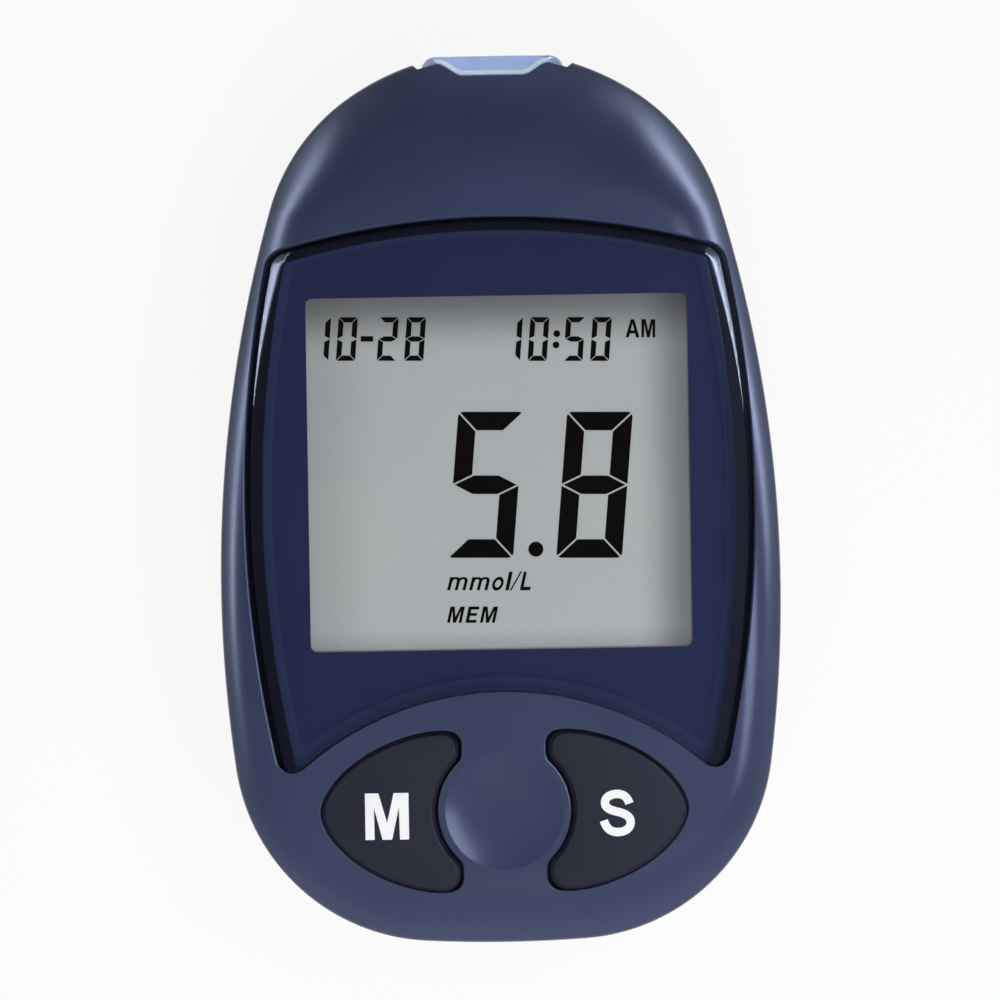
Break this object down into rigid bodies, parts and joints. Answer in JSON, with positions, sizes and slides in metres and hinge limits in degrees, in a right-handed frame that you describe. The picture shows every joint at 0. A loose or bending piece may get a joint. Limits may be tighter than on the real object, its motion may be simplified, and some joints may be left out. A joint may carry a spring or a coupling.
{
  "type": "blood glucose meter",
  "caption": "Hand-held blood glucose meter with a large display window, crescent keys either side of a thumb dimple, a test-strip port and a sliding battery door.",
  "frame": {"origin": "centre of the footprint on the flat back, which lies on z = 0", "axes": "+Z out of the display face, +Y towards the strip port along the body, +X to the right seen from the front"},
  "size_m": [0.056, 0.0886, 0.021],
  "materials": {
    "housing": "satin moulded navy",
    "key": "matte dark grey",
    "window": "tinted, polished",
    "mask": "printed dark blue",
    "port": "translucent light blue",
    "lcd": "grey display face",
    "lcd_glass": "clear",
    "white_plastic": "white moulded",
    "elastomer": "soft",
    "board": "green solder mask",
    "chip": "moulded epoxy",
    "component": "ceramic body",
    "metal": "nickel plated",
    "gold": "gold plated",
    "cell": "printed sleeve"
  },
  "bodies": {
    "housing": {"front_housing": "housing", "rear_housing": "housing", "display_window": "window", "window_mask": "mask", "lcd_front_polarizer": "lcd", "lcd_front_glass": "lcd_glass", "lcd_rear_glass": "lcd_glass", "lcd_rear_polarizer": "lcd", "lcd_frame": "white_plastic", "lcd_contact_strip": "elastomer", "main_board": "board", "microcontroller": "chip", "analog_chip": "chip", "memory_chip": "chip", "clock_crystal": "metal", "buzzer": "chip", "chip_components": "component", "memory_switch": "chip", "set_switch": "chip", "strip_port": "port", "strip_connector": "chip", "strip_contacts": "gold", "left_battery": "cell", "right_battery": "cell", "battery_bridge": "metal", "battery_plus_contact": "metal", "battery_minus_contact": "metal", "bridge_spring": "metal", "minus_spring": "metal", "housing_screws": "metal"},
    "memory_button": {"memory_key": "key", "memory_switch_plunger": "white_plastic"},
    "set_button": {"set_key": "key", "set_switch_plunger": "white_plastic"},
    "door": {"battery_door": "housing"}
  },
  "joints": [
    {"name": "memory_press", "type": "slide", "parent": "housing", "child": "memory_button", "axis": [0, 0, -1], "range_m": [0, 0.0005], "stiffness_N_per_m": 3000, "springref_m": -0.0003},
    {"name": "set_press", "type": "slide", "parent": "housing", "child": "set_button", "axis": [0, 0, -1], "range_m": [0, 0.0005], "stiffness_N_per_m": 3000, "springref_m": -0.0003},
    {"name": "door_slide", "type": "slide", "parent": "housing", "child": "door", "axis": [0, -1, 0], "range_m": [0, 0.062]}
  ]
}
